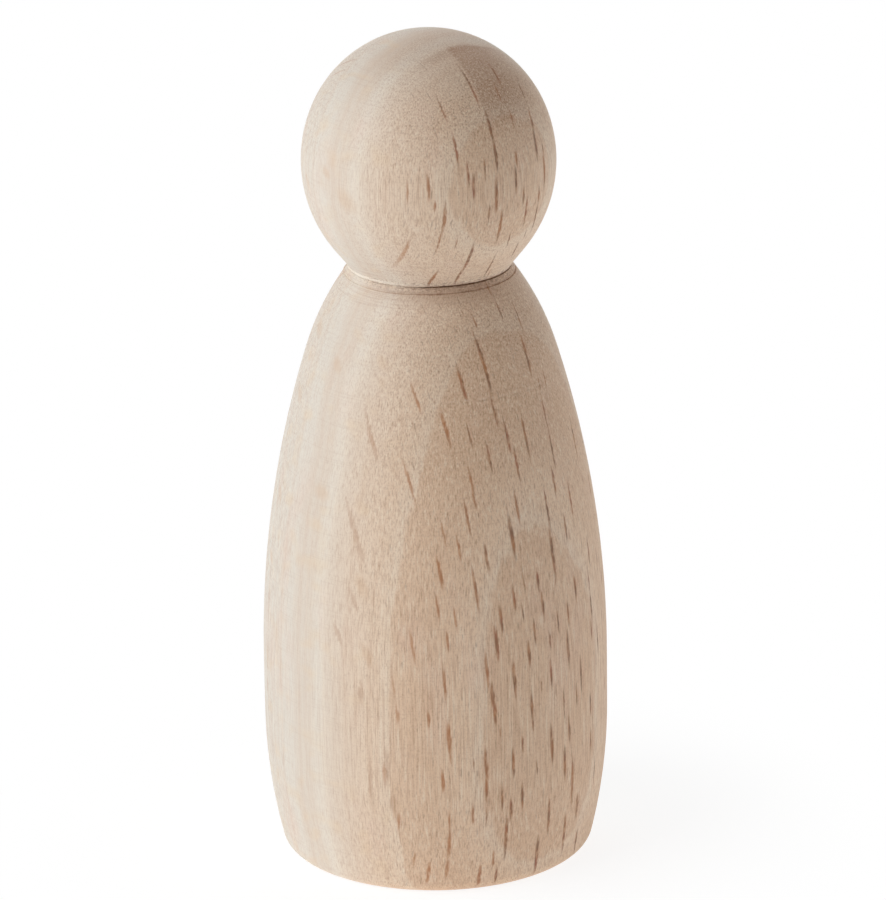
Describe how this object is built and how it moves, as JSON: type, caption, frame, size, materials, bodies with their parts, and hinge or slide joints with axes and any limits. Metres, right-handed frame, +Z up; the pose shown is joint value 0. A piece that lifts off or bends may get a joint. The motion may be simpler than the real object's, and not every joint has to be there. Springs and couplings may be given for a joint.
{
  "type": "peg doll",
  "caption": "Plain turned wooden peg doll: ball head, narrow neck groove, full round body with a soft-edged flat base.",
  "frame": {"origin": "centre of the flat base", "axes": "+Z up along the turning axis, from the base to the crown; +Y away from the picture's camera"},
  "size_m": [0.0368, 0.0368, 0.09],
  "materials": {
    "beech": "bare sanded beech, no finish"
  },
  "bodies": {
    "root": {"peg_doll": "beech"}
  },
  "joints": []
}
